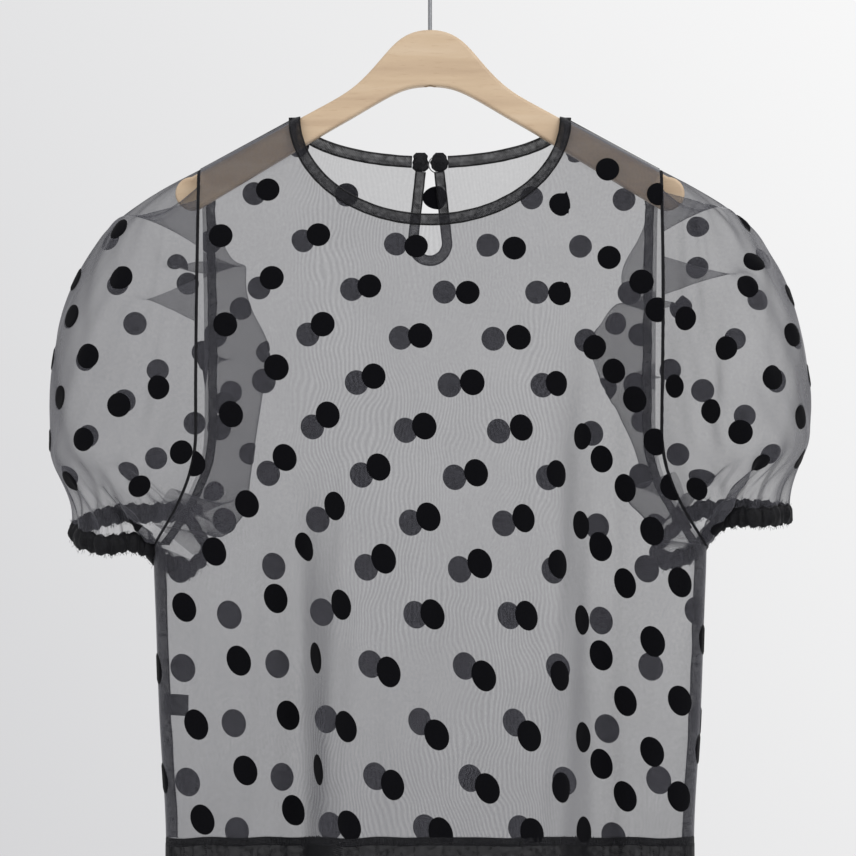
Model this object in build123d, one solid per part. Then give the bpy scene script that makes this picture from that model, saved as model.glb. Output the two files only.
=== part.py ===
"""Sheer puff-sleeve blouse on a wooden hanger with a swivelling wire hook.

Frame: +Z up, +X to the viewer's right, -Y to the front. The origin is the underside of the wire at the
top of the hook's bend, where the hook bears on a rail. Millimetres.
"""
import math
import os

from build123d import *

os.makedirs("parts", exist_ok=True)

# ---- hook: bent wire ----
wireR = 1.6
bendInnerR = 19.0                   # a wardrobe rail sits in this bend
reverseBendR = 12.0                 # small bend that brings the big one back over the shank
hookTipAngle = -20.0                # where the open end stops, degrees from +X
hookHeadR = 3.4                     # end of the wire, hammered out under the washer
hookHeadH = 1.6
turnGap = 0.05                      # running clearance of the shank in the wood

# ---- hanger: one piece of wood ----
woodTop = -76.5
woodUnder = -121.2                  # underside in the middle
woodHalfThick = 6.0
armSlope = 0.542                    # fall of the arms per mm of width
armStartX = 90.0                    # the dome ends and the straight arm starts
armStartZ = -139.6
armEndX = 190.0
armTip = (203.0, -207.5)            # outermost point of the rounded end
armUnderStart = (86.4, -160.4)
armUnderEnd = (184.0, -219.0)
domeShoulder = ((38.4, -98.8), (60.0, -121.2))
archShoulder = ((60.0, -145.2), (27.2, -126.8))
woodEdgeR = 2.5
washerR = 4.6
washerHoleR = 1.9
washerT = 0.8
counterboreR = 5.2
counterboreDepth = 7.0

# ---- blouse body ----
fabricT = 0.6                       # stands in for organza a fifth of this
restGap = 2.6                       # shoulder fold above the wood
neckHalfW = 108.0
neckCentreZ = -146.0
frontNeckDrop = 81.0
backNeckDrop = 34.0
bindingW = 8.5
armholeX = 184.0
armholeStraightZ = -392.0
armholeBend = (9.0, -56.0)          # a point on the curve, from where the straight edge ends
underarm = (221.0, -488.0)
bottomSeamZ = -725.0
hemZ = -780.0
bandJoint = 0.2                     # panel to hem band
bandOut = 0.5                       # how far the doubled hem band stands proud of the panels
bindingOut = 0.5                    # how far the binding stands proud, outside and inside
bindingIn = 1.1
tabOut = 0.8
tabIn = 1.4
overlockW = 7.0
seamT = 1.2
seamGap = 0.1                       # seam allowance to the cloth it lies on
hemSeamT = 2.5
hemSeamTop = 2.5                    # above and below the line where panel and band meet
hemSeamLow = 3.0
crestT = 0.9                        # shoulder seam, raised on the fold
crestHalfW = 3.0
seamEnd = 0.5                       # shoulder seam to the pieces at its ends
sideSeamInner = ((213.0, 496.0), (209.6, 620.0), (204.6, 721.0))    # half width, depth below the origin
# height, half width, half depth of the body, from above the shoulders to below the hem
bodySections = (
    (-136.0, 220.0, 8.4),
    (-150.0, 220.0, 9.6),
    (-190.0, 220.0, 16.5),
    (-240.0, 220.0, 26.0),
    (-310.0, 220.0, 37.0),
    (-400.0, 220.0, 44.0),
    (-490.0, 220.0, 46.0),
    (-620.0, 216.5, 47.0),
    (-725.0, 211.0, 48.0),
    (-800.0, 213.0, 50.0),
)

# ---- back opening ----
tabW = 13.7
tabGap = 0.8                        # half the gap between the two folded tabs
tabTopZ = -172.5
tabBottomZ = -187.5
keyholeHalfTop = 3.2
keyholeHalfLow = 9.6
keyholeStraightZ = -244.0
keyholeBottomZ = -254.0
keyholeBindingW = 8.6
buttonR = 4.5
buttonT = 2.0
buttonX = 7.0
buttonZ = -181.5
buttonInnerY = 19.2                 # inner face of the button's disc
shankR = 1.2
loopY = 18.3
loopX = 5.6
loopR = 6.6
loopThreadR = 0.4

# ---- puff sleeves (the left one; the right one is its mirror) ----
# height, centre, half width, half depth
sleeveSections = (
    (-187.0, -187.0, 11.0, 8.0),
    (-204.0, -197.0, 22.0, 18.0),
    (-222.0, -205.0, 32.0, 27.0),
    (-258.0, -216.0, 57.0, 46.0),
    (-300.0, -216.0, 75.0, 58.0),
    (-345.0, -217.0, 84.0, 63.5),
    (-400.0, -219.0, 83.0, 63.0),
    (-440.0, -227.0, 74.0, 59.0),
    (-462.0, -245.0, 51.0, 50.0),
    (-472.0, -256.5, 33.0, 44.0),
)
sleeveClear = 1.2                   # sleeve to body all round the armhole
cuffH = 18.0
cuffT = 5.0
elasticH = 8.0
elasticT = 1.0
elasticGap = 0.3

# ---- care label, sewn into the side seam on -X ----
labelW = 20.0
labelH = 17.0
labelT = 0.4
labelX = -213.8
labelY = 10.2
labelZ = -616.5

far = 400.0                         # half size of the blocks that cut


def outline(points):
    """A flat face in the XZ plane with straight sides."""
    return Plane.XZ * make_face(Polyline(*points, close=True))


def through(face, depth=far):
    """The face carried both ways along Y."""
    return extrude(face, depth, both=True)


def mirrored(shape):
    return mirror(shape, Plane.YZ)


# ---------------------------------------------------------------- hanger

def hook():
    bendR = bendInnerR + wireR
    centreZ = -bendInnerR
    reverseZ = centreZ - math.sqrt((bendR + reverseBendR) ** 2 - reverseBendR**2)
    centre = Vector(0, 0, centreZ)
    reverseCentre = Vector(-reverseBendR, 0, reverseZ)
    meet = reverseCentre + (centre - reverseCentre).normalized() * reverseBendR
    halfTurn = math.atan2(meet.Z - reverseZ, meet.X + reverseBendR) / 2
    reverseMid = reverseCentre + Vector(math.cos(halfTurn), 0, math.sin(halfTurn)) * reverseBendR
    tipAngle = math.radians(hookTipAngle)
    tip = centre + Vector(math.cos(tipAngle), 0, math.sin(tipAngle)) * bendR
    shankBottom = woodUnder + counterboreDepth - washerT - turnGap
    path = (
        Line((0, 0, shankBottom), (0, 0, reverseZ))
        + ThreePointArc((0, 0, reverseZ), reverseMid, meet)
        + ThreePointArc(meet, centre + Vector(0, 0, bendR), tip)
    )
    wire = sweep(Pos(0, 0, shankBottom) * Circle(wireR), path=path)
    head = Pos(0, 0, shankBottom - hookHeadH / 2) * Cylinder(hookHeadR, hookHeadH)
    head = fillet(head.edges().group_by(Axis.Z)[0], hookHeadH / 3)
    return wire + Pos(*tip) * Sphere(wireR) + head


def hangerBody():
    top = Spline((0, woodTop), *domeShoulder, (armStartX, armStartZ), tangents=((1, 0), (1, -armSlope)))
    armEndZ = armStartZ - (armEndX - armStartX) * armSlope
    upper = Line((armStartX, armStartZ), (armEndX, armEndZ))
    tip = ThreePointArc((armEndX, armEndZ), armTip, armUnderEnd)
    lower = Line(armUnderEnd, armUnderStart)
    inward = (armUnderStart[0] - armUnderEnd[0], armUnderStart[1] - armUnderEnd[1])
    under = Spline(armUnderStart, *archShoulder, (0, woodUnder), tangents=(inward, (-1, 0)))
    middle = Line((0, woodUnder), (0, woodTop))
    half = Plane.XZ * make_face(Curve() + [top, upper, tip, lower, under, middle])
    wood = extrude(half + mirrored(half), woodHalfThick, both=True)
    wood = fillet(wood.faces().filter_by(Axis.Y).edges(), woodEdgeR)
    boreLength = woodTop - woodUnder
    bore = Pos(0, 0, (woodTop + woodUnder) / 2) * Cylinder(wireR + turnGap, boreLength * 2)
    recess = Pos(0, 0, woodUnder) * Cylinder(counterboreR, counterboreDepth * 2)
    return wood - bore - recess


def hookWasher():
    z = woodUnder + counterboreDepth - washerT / 2
    return Pos(0, 0, z) * (Cylinder(washerR, washerT) - Cylinder(washerHoleR, washerT))


# ---------------------------------------------------------------- blouse body

def shoulderZ(x, lift=0.0):
    """Height of the shoulder line, parallel to the arms of the hanger."""
    return armStartZ - (abs(x) - armStartX) * armSlope + restGap + lift


def bodyBlock(grow):
    """The whole space of the body, grown by a distance, with its shoulders sloped."""
    rings = [Pos(0, 0, z) * SlotOverall(2 * (w + grow), 2 * (d + grow)) for z, w, d in bodySections]
    roofX = neckHalfW - bindingW
    roof = outline([
        (-far, -2 * far), (-far, shoulderZ(far, grow)), (-roofX, shoulderZ(roofX, grow)),
        (roofX, shoulderZ(roofX, grow)), (far, shoulderZ(far, grow)), (far, -2 * far),
    ])
    return loft(rings) & through(roof, 2 * bodySections[-1][2])


def skin(outer, inner):
    """A shell of the body between two offsets, closed along the shoulders."""
    return bodyBlock(outer) - bodyBlock(inner)


def frontOf(shape):
    return shape & Pos(0, -far / 2, -far) * Box(2 * far, far, 2.2 * far)


def backOf(shape):
    return shape & Pos(0, far / 2, -far) * Box(2 * far, far, 2.2 * far)


def neckEllipse(drop, grow):
    return Plane.XZ * Pos(0, neckCentreZ) * Ellipse(neckHalfW + grow, drop + grow)


def armholeRegion(inset=0.0):
    """What is cut away beyond the armhole on +X; inset moves its edge towards the body."""
    top = (armholeX - inset, 0)
    bend = (armholeX - inset, armholeStraightZ)
    bottom = (underarm[0], underarm[1] - inset)
    mid = (bend[0] + armholeBend[0], bend[1] + armholeBend[1])
    edge = Line(top, bend) + ThreePointArc(bend, mid, bottom)
    return Plane.XZ * make_face(edge + Polyline(bottom, (far, bottom[1]), (far, 0), top))


def levels(topZ, bottomZ):
    """A band across the whole width between two heights."""
    return outline([(-far, topZ), (far, topZ), (far, bottomZ), (-far, bottomZ)])


def keyholeOutline(grow):
    """The drop-shaped slit in the back, grown by a distance."""
    top = -neckHalfW
    left = (-keyholeHalfLow - grow, keyholeStraightZ)
    right = (keyholeHalfLow + grow, keyholeStraightZ)
    bottom = ThreePointArc(left, (0, keyholeBottomZ - grow), right)
    sides = Polyline(right, (keyholeHalfTop + grow, top), (-keyholeHalfTop - grow, top), left)
    return Plane.XZ * make_face(bottom + sides)


def tabOutline():
    """The folded end of the binding on +X."""
    end = tabGap + tabW
    return outline([(tabGap, tabTopZ), (end, tabTopZ), (end, tabBottomZ), (tabGap, tabBottomZ)])


def bodyPanels():
    region = levels(0, bottomSeamZ) - armholeRegion() - mirrored(armholeRegion())
    cloth = skin(0, -fabricT)
    front = region - neckEllipse(frontNeckDrop, bindingW / 2)
    tabs = outline([(-tabGap - tabW, 0), (tabGap + tabW, 0),
                    (tabGap + tabW, tabBottomZ), (-tabGap - tabW, tabBottomZ)])
    back = region - neckEllipse(backNeckDrop, bindingW / 2) - tabs - keyholeOutline(keyholeBindingW)
    return {
        "front_panel": frontOf(cloth) & through(front),
        "back_panel": backOf(cloth) & through(back),
    }


def neckTrims():
    binding = skin(bindingOut, -bindingIn)
    fold = backOf(skin(tabOut, -tabIn))
    frontRing = neckEllipse(frontNeckDrop, bindingW / 2) - neckEllipse(frontNeckDrop, -bindingW / 2)
    backRing = neckEllipse(backNeckDrop, bindingW / 2) - neckEllipse(backNeckDrop, -bindingW / 2)
    side = outline([(tabGap + tabW, 0), (far, 0), (far, -far), (tabGap + tabW, -far)])
    belowTabs = levels(tabBottomZ, -far)
    backHalf = backOf(binding)
    rim = (keyholeOutline(keyholeBindingW) - keyholeOutline(0)) & belowTabs
    rightEnd = backHalf & through(backRing & side)
    rightTab = fold & through(tabOutline())
    return {
        "neck_binding_front": frontOf(binding) & through(frontRing),
        "neck_binding_back_right": rightEnd,
        "neck_binding_back_left": mirrored(rightEnd),
        "keyhole_tab_right": rightTab,
        "keyhole_tab_left": mirrored(rightTab),
        "keyhole_binding": backHalf & through(rim),
    }


def closure():
    disc = Pos(buttonX, buttonInnerY + buttonT / 2, buttonZ) * Rot(90, 0, 0) * Cylinder(buttonR, buttonT)
    disc = fillet(disc.edges(), buttonT / 4)
    shank = Pos(buttonX, buttonInnerY / 2, buttonZ) * Rot(90, 0, 0) * Cylinder(shankR, buttonInnerY)
    button = disc + (shank - bodyBlock(tabOut))
    loop = Pos(loopX, loopY, buttonZ) * Rot(90, 0, 0) * Torus(loopR, loopThreadR)
    return {"neck_button": button, "button_loop": loop}


def seams():
    lining = -fabricT - seamGap
    ring = skin(lining, lining - seamT) & through(armholeRegion(overlockW) - armholeRegion())
    startX = neckHalfW + bindingW / 2 + seamEnd
    endX = armholeX - seamEnd
    crest = outline([
        (startX, shoulderZ(startX)), (endX, shoulderZ(endX)),
        (endX, shoulderZ(endX, crestT)), (startX, shoulderZ(startX, crestT)),
    ])
    shoulder = through(crest, crestHalfW)
    top, middle, low = ((x, -depth) for x, depth in sideSeamInner)
    strip = outline([top, (far, top[1]), (far, low[1]), low, middle])
    side = through(strip, seamT / 2) & bodyBlock(lining)
    hemLevels = levels(bottomSeamZ + hemSeamTop, bottomSeamZ - hemSeamLow)
    hemRing = skin(lining, lining - hemSeamT) & through(hemLevels)
    return {
        "armhole_seam_right": ring,
        "armhole_seam_left": mirrored(ring),
        "shoulder_seam_right": shoulder,
        "shoulder_seam_left": mirrored(shoulder),
        "side_seam_right": side,
        "side_seam_left": mirrored(side),
        "bottom_seam": hemRing,
    }


def hemBand():
    band = skin(bandOut, -fabricT) & through(levels(bottomSeamZ - bandJoint, hemZ))
    return {"hem_band_front": frontOf(band), "hem_band_back": backOf(band)}


def careLabel():
    return Pos(labelX + labelW / 2, labelY, labelZ) * Box(labelW, labelT, labelH)


# ---------------------------------------------------------------- sleeves

def sleeveBlock(shrink):
    rings = []
    for z, x, w, d in sleeveSections:
        rings.append(Pos(x, 0, z) * Ellipse(w - shrink, d - shrink))
    return loft(rings)


def sleeve():
    """A balloon of cloth, open where the body passes through it and open at the cuff."""
    low = sleeveSections[-1]
    high = sleeveSections[0]
    mouth = Pos(low[1], 0, low[0]) * extrude(Ellipse(low[2] - fabricT, low[3] - fabricT), fabricT, both=True)
    inside = sleeveBlock(fabricT) - Pos(high[1], 0, high[0]) * Box(far, far, 2 * fabricT)
    body = bodyBlock(sleeveClear) - through(mirrored(armholeRegion(-sleeveClear)))
    return sleeveBlock(0) - inside - mouth - body


def cuffRing(inset, thick, height, z):
    """An oval ring at the sleeve's mouth, set in from the casing's outer face."""
    centreX, halfW, halfD = sleeveSections[-1][1:]
    outer = Ellipse(halfW - inset, halfD - inset)
    inner = Ellipse(halfW - inset - thick, halfD - inset - thick)
    return Pos(centreX, 0, z) * extrude(outer - inner, height)


def cuff():
    """A gathered casing with the elastic lying in its groove."""
    topZ = sleeveSections[-1][0]
    inset = (cuffT - elasticT) / 2
    elasticZ = topZ - cuffH / 2 - elasticH / 2
    casing = cuffRing(0, cuffT, cuffH, topZ - cuffH)
    groove = cuffRing(inset - elasticGap, cuffT, elasticH + 2 * elasticGap, elasticZ - elasticGap)
    return casing - groove, cuffRing(inset, elasticT, elasticH, elasticZ)


def sleeves():
    casing, elastic = cuff()
    left = {"sleeve": sleeve(), "cuff_casing": casing, "cuff_elastic": elastic}
    made = {}
    for name, piece in left.items():
        made[name + "_left"] = piece
        made[name + "_right"] = mirrored(piece)
    return made


pieces = {"hanger_hook": hook(), "hanger_body": hangerBody(), "hook_washer": hookWasher()}
pieces |= bodyPanels()
pieces |= neckTrims()
pieces |= closure()
pieces |= seams()
pieces |= hemBand()
pieces["care_label"] = careLabel()
pieces |= sleeves()

for name, piece in pieces.items():
    export_step(piece, f"parts/{name}.step")
    print(name, len(piece.solids()))
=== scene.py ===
import math
import random

import bmesh
import bpy
import numpy as np
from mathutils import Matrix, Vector


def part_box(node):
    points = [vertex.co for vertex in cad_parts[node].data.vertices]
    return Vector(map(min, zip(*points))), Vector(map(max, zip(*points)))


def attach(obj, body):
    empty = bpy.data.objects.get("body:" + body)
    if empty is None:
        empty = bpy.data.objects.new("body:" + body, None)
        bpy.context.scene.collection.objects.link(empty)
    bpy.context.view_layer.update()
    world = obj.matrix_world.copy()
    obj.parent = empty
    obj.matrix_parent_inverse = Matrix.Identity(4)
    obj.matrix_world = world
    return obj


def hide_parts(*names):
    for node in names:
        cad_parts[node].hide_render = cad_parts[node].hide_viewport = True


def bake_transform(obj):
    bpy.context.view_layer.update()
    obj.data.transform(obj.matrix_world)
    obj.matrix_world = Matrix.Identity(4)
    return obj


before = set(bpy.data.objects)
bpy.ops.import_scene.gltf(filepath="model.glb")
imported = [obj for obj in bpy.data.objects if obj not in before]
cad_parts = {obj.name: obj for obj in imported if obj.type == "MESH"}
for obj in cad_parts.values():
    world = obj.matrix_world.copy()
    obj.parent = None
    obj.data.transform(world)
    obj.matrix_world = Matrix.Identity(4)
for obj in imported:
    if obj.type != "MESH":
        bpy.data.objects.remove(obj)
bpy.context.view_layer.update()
print("frame loaded")

scene = bpy.context.scene
scene.view_settings.view_transform = "Standard"
rng = random.Random(7)
mm = 0.001


def corners(node):
    low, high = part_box(node)
    return np.array(low) / mm, np.array(high) / mm


seamLow, seamHigh = corners("shoulder_seam_right")
tabLow, tabHigh = corners("keyhole_tab_right")
labelLow, labelHigh = corners("care_label")
loopLow, loopHigh = corners("button_loop")
bottomZ = corners("front_panel")[0][2]
hemZ = corners("hem_band_front")[0][2]

body = {
    "sections": (  # height, half width, half depth at the middle
        (-136.0, 220.0, 8.4), (-150.0, 220.0, 9.6), (-190.0, 220.0, 16.5), (-240.0, 220.0, 26.0),
        (-310.0, 220.0, 37.0), (-400.0, 220.0, 44.0), (-490.0, 220.0, 46.0), (-620.0, 216.5, 47.0),
        (-725.0, 211.0, 48.0), (-800.0, 213.0, 50.0),
    ),
    "shoulderX": 184.0,  # armhole edge, straight part
    "shoulderZ": -187.9,  # shoulder line at that edge
    "slope": 0.542,
    "armholeEnd": -392.0,
    "underarm": (221.0, -488.0),
    "capR": 9.0,  # rounding of the cloth over the shoulder line
    "bottom": bottomZ,
    # heights where a flute begins and is fully formed, and the share of the depth left across the cloth
    "flutes": {
        "left": (-350.0, -570.0, (  # a knife-sharp one on -X
            (0, 1), (78, 1), (103, 0.16), (124, 0.24), (150, 0.34), (185, 0.36), (230, 0.30))),
        "right": (-235.0, -430.0, (  # a deep soft one on +X
            (0, 1), (76, 1), (100, 0.78), (130, 0.10), (142, 0.06), (156, 0.24), (172, 0.36), (186, 0.38),
            (230, 0.30))),
        "back": (-350.0, -570.0, (
            (0, 1), (60, 0.98), (110, 0.72), (160, 0.34), (190, 0.28), (230, 0.25))),
    },
    "minDepth": 14.0,
    "hemTilt": 0.17,  # the front hem rides a little higher than the back one
    "tiltZ": (-600.0, 125.0),  # the height where that begins, and the length it takes
    "hip": (-560.0, 72.0, 1.0),  # likewise where the side seam stands out, and by how much
    # waves over the cloth: height, lengths across and down, seed; and where they begin and how they grow
    "waves": ((1.6, 17, 210, 3), (1.1, 9, -120, 11)),
    "hang": (-230.0, 260.0),
    # gathers close to the bottom seam: height, length across, seed; and the ends of the zone they fill
    "gather": (0.9, 2.3, 21),
    "gatherZ": ((-752.0, 26.0), (-800.0, 60.0)),
}
neck = {"halfW": 108.0, "centreZ": -146.0, "front": 83.5, "back": 34.0, "width": 9.6}
keyhole = {"top": 3.2, "low": 9.6, "taperZ": -108.0, "straightZ": -244.0, "bottomZ": -254.0, "width": 8.6}


def smooth(t):
    t = np.clip(t, 0.0, 1.0)
    return t * t * (3 - 2 * t)


def table(x, rows, column):
    # never leaves its rows: a curve through them with level ends
    data = sorted(rows)
    xs = np.array([r[0] for r in data])
    ys = np.array([r[column] for r in data], float)
    slopes = np.gradient(ys, xs)
    x = np.clip(x, xs[0], xs[-1])
    i = np.clip(np.searchsorted(xs, x) - 1, 0, len(xs) - 2)
    h = xs[i + 1] - xs[i]
    t = (x - xs[i]) / h
    a, b = t * t * (3 - 2 * t), t * (1 - t)
    return ys[i] * (1 - a) + ys[i + 1] * a + h * b * (slopes[i] * (1 - t) - slopes[i + 1] * t)


def ripple(x, seed):
    # a sum of sines of unlike lengths, about -1 to 1, the same on each run
    r = random.Random(seed)
    waves = 4
    total = 0.0
    for k in range(waves):
        total = total + np.sin(x * (1 + k * r.uniform(0.5, 0.9)) + r.uniform(0, 6.3))
    return total / waves


def unit(vectors):
    return vectors / np.maximum(np.linalg.norm(vectors, axis=-1, keepdims=True), 1e-9)


def lengthAlong(line):
    # how far along a line each of its points lies
    return np.concatenate([[0], np.cumsum(np.linalg.norm(np.diff(line, axis=0), axis=1))])


def addMesh(name, points, faces):
    mesh = bpy.data.meshes.new(name)
    mesh.from_pydata((np.asarray(points) * mm).tolist(), [], faces)
    mesh.shade_smooth()
    mesh.update()
    piece = bpy.data.objects.new(name, mesh)
    scene.collection.objects.link(piece)
    return piece


def finishPiece(piece, material, node, ridesOn="blouse"):
    if material:
        piece.data.materials.append(material)
    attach(piece, ridesOn)
    if node:
        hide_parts(node)
    return piece


def gridFaces(rows, cols, closed=False, skip=()):
    faces = []
    for r in range(rows - 1):
        for c in range(cols if closed else cols - 1):
            if c in skip:
                continue
            d = (c + 1) % cols
            faces.append((r * cols + c, r * cols + d, (r + 1) * cols + d, (r + 1) * cols + c))
    return faces


def joined(parts):
    # the points and faces of many parts as one
    points, faces = [], []
    for p, f in parts:
        faces += [tuple(len(points) + i for i in face) for face in f]
        points += list(p)
    return points, faces


def capped(grid, closed=False, outward=1):
    # a loop of points carried along a line, its ends filled, or joined when the line is closed
    rows, cols = grid.shape[:2]
    last = (rows - 1) * cols
    faces = gridFaces(rows, cols, closed=True)
    if closed:
        faces += [(last + c, last + (c + 1) % cols, (c + 1) % cols, c) for c in range(cols)]
    else:
        faces += [tuple(range(cols))[::-outward], tuple(range(last, last + cols))[::outward]]
    return grid.reshape(-1, 3), faces


def tubeMesh(lines, radius, sides=5, closed=False):
    # round threads along many lines
    turn = (2 * math.pi * np.arange(sides) / sides)[None, :, None]
    tubes = []
    for line in lines:
        line = np.asarray(line, float)
        if closed:
            tangent = unit(np.roll(line, -1, 0) - np.roll(line, 1, 0))
        else:
            tangent = unit(np.gradient(line, axis=0))
        up = np.where(np.abs(tangent[:, 2:3]) > 0.9, [[1.0, 0, 0]], [[0, 0, 1.0]])
        a = unit(np.cross(tangent, up))
        b = np.cross(tangent, a)
        ring = line[:, None] + radius * (np.cos(turn) * a[:, None] + np.sin(turn) * b[:, None])
        tubes.append(capped(ring, closed, -1))
    return joined(tubes)


def sample(grid, at):
    # the point of a grid of points at fractional rows and columns
    r = np.clip(at[:, 0], 0, grid.shape[0] - 1.001)
    c = np.clip(at[:, 1], 0, grid.shape[1] - 1.001)
    i, j = r.astype(int), c.astype(int)
    s, t = (r - i)[:, None], (c - j)[:, None]
    top = grid[i, j] * (1 - t) + grid[i, j + 1] * t
    low = grid[i + 1, j] * (1 - t) + grid[i + 1, j + 1] * t
    return top * (1 - s) + low * s


def lean(grid, at, h=0.7):
    # the grid's two directions at a place: down the rows and across the columns
    down = sample(grid, at + [h, 0]) - sample(grid, at - [h, 0])
    across = sample(grid, at + [0, h]) - sample(grid, at - [0, h])
    return down / (2 * h), across / (2 * h)


def walk(grid, start, offsets, steps=6):
    # where points end that leave start and go offsets (across, up) along the cloth
    at = np.repeat(np.asarray([start], float), len(offsets), 0)
    part = np.asarray(offsets, float) / steps
    for _ in range(steps):
        down, across = lean(grid, at)
        wide = np.maximum(np.linalg.norm(across, axis=1), 0.05)
        e = across / wide[:, None]
        along = (down * e).sum(1)
        tall = np.maximum(np.linalg.norm(down - e * along[:, None], axis=1), 0.05)
        rows = -part[:, 1] / tall
        cols = (part[:, 0] - rows * along) / wide
        at = at + np.stack([rows, cols], 1)
        at = np.clip(at, 0, np.array(grid.shape[:2]) - 1)
    return at


def linear(hexColour):
    parts = [int(hexColour[i:i + 2], 16) / 255 for i in (1, 3, 5)]
    return tuple(p / 12.92 if p <= 0.04045 else ((p + 0.055) / 1.055) ** 2.4 for p in parts) + (1.0,)


def addNode(material, kind, settings=None, **inputs):
    # one node with its settings, and its inputs set to values or linked to outputs, a node's first if not
    # named; stops are the places and colours of a ramp
    node = material.node_tree.nodes.new("ShaderNode" + kind)
    for key, value in (settings or {}).items():
        if key != "stops":
            setattr(node, key, value)
            continue
        elements = node.color_ramp.elements
        for k, (place, colour) in enumerate(value):
            element = elements[k] if k < 2 else elements.new(place)
            element.position = place
            element.color = linear(colour)
    for key, value in inputs.items():
        socket = node.inputs[int(key[1:]) if key[1:].isdigit() else key.replace("_", " ")]
        if isinstance(value, bpy.types.Node):
            value = value.outputs[0]
        if isinstance(value, bpy.types.NodeSocket):
            material.node_tree.links.new(value, socket)
        else:
            socket.default_value = value
    return node


def newMaterial(name):
    # a material with no nodes yet, and the place on the object that its patterns are laid by
    made = bpy.data.materials.new(name)
    made.use_nodes = True
    made.node_tree.nodes.clear()
    return made, addNode(made, "TexCoord").outputs["Object"]


def shade(made, pattern=None, stops=(), bump=0.0, deepMm=0.0, **sockets):
    # the Principled shader; one pattern gives the colour, between its stops, and the relief
    if pattern:
        sockets["Base_Color"] = addNode(made, "ValToRGB", {"stops": stops}, Fac=pattern)
    if bump:
        sockets["Normal"] = addNode(made, "Bump", Height=pattern, Strength=bump, Distance=deepMm * mm)
    addNode(made, "OutputMaterial", Surface=addNode(made, "BsdfPrincipled", **sockets))
    return made


def bandScale(pitchMm):
    # a wave texture has 20 / (2 pi) bands to its unit of scale
    return 2 * math.pi / 20 / (pitchMm * mm)


multiply = {"operation": "MULTIPLY"}
multiplyAdd = {"operation": "MULTIPLY_ADD"}
watered = {
    "pitchMm": 3.1, "bend": 15.0, "scale": 13.0,
    "patch": 8.0,  # scale of the patches that show the lines
    "halfWidth": (0.112, 0.088),  # front and back lie close within this, in metres
    "weak": 0.15,
}
veil = {
    "turned": (1.55, 0.66),  # power and share by which the cloth closes up where it turns away
    "low": (-0.72, -0.45, 0.05),  # painted shade: the veil grows denser, so darker, towards the bottom between these heights, by this share
    "cloud": (22.0, 4.0, 0.07),  # scale, detail and share
    "slub": (420.0, 2.0, 0.12),
}
armShade = {"depthMm": (26.0, 36.0), "cover": 0.17}  # painted shade: the veil made denser, so darker, in a band where it lies on the hanger's arms


def organza(name, cover, moire, armShadeCover=0.0):
    # polyester organza, plain woven from fine twisted yarn: a smoky veil that closes up where it turns away,
    # with watered lines where two layers lie together; painted shade makes it denser low down and, when
    # asked, over the arms
    made, place = newMaterial(name)
    parts = addNode(made, "SeparateXYZ", Vector=place)
    swirl, patch, cloud, slub = (
        addNode(made, "TexNoise", Vector=place, Scale=scale, Detail=detail) for scale, detail in (
            (watered["scale"], 2.0), (watered["patch"], 1.0), veil["cloud"][:2], veil["slub"][:2]))
    phase = addNode(made, "Math", multiply, i0=parts, i1=2 * math.pi / (watered["pitchMm"] * mm))
    phase = addNode(made, "Math", multiplyAdd, i0=swirl, i1=2 * math.pi * watered["bend"], i2=phase)
    lines = addNode(made, "Math", {"operation": "SINE"}, i0=phase)
    wide = addNode(made, "Math", {"operation": "ABSOLUTE"}, i0=parts)
    for source, start, end in ((patch, 0.36, 0.52), (wide, *watered["halfWidth"])):
        strong = addNode(made, "MapRange", Value=source, From_Min=start, From_Max=end,
                         To_Min=watered["weak"])
        lines = addNode(made, "Math", multiply, i0=lines, i1=strong)
    facing = addNode(made, "LayerWeight", Blend=0.5).outputs["Facing"]
    edge = addNode(made, "Math", {"operation": "POWER"}, i0=facing, i1=veil["turned"][0])
    # painted shade: the veil denser, so darker, towards the bottom
    low = addNode(made, "MapRange", Value=parts.outputs["Z"], From_Min=veil["low"][0],
                  From_Max=veil["low"][1], To_Min=veil["low"][2], To_Max=0.0)
    terms = [(edge, veil["turned"][1]), (lines, moire / 2), (low, 1.0)]
    for noise, key in ((cloud, "cloud"), (slub, "slub")):
        cover -= veil[key][2] / 2
        terms.append((noise, veil[key][2]))
    # painted shade over the hanger's arms: the veil denser in a band just under the shoulder line
    if armShadeCover:
        ridge = (body["shoulderZ"] + body["shoulderX"] * body["slope"]) * mm
        slope = addNode(made, "Math", multiplyAdd, i0=wide, i1=body["slope"], i2=parts.outputs["Z"])
        terms.append((addNode(made, "MapRange", {"interpolation_type": "SMOOTHSTEP"}, Value=slope,
                              From_Min=ridge - armShade["depthMm"][1] * mm,
                              From_Max=ridge - armShade["depthMm"][0] * mm, To_Max=armShadeCover), 1.0))
    value = cover
    for source, share in terms:
        value = addNode(made, "Math", multiplyAdd, i0=source, i1=share, i2=value)
    return shade(made, slub, ((0.3, "#434349"), (0.7, "#55555C")), 0.25, 0.4, Roughness=0.5,
                 Sheen_Weight=0.08, Sheen_Roughness=0.4, Specular_IOR_Level=0.25,
                 Alpha=addNode(made, "Clamp", Value=value, Min=0.05, Max=0.97))


def grained(name, scale, detail, stops, bump=0.0, deepMm=0.0, **sockets):
    # a surface whose grain is one fine noise
    made, place = newMaterial(name)
    grain = addNode(made, "TexNoise", Vector=place, Scale=scale, Detail=detail)
    return shade(made, grain, stops, bump, deepMm, **sockets)


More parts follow.
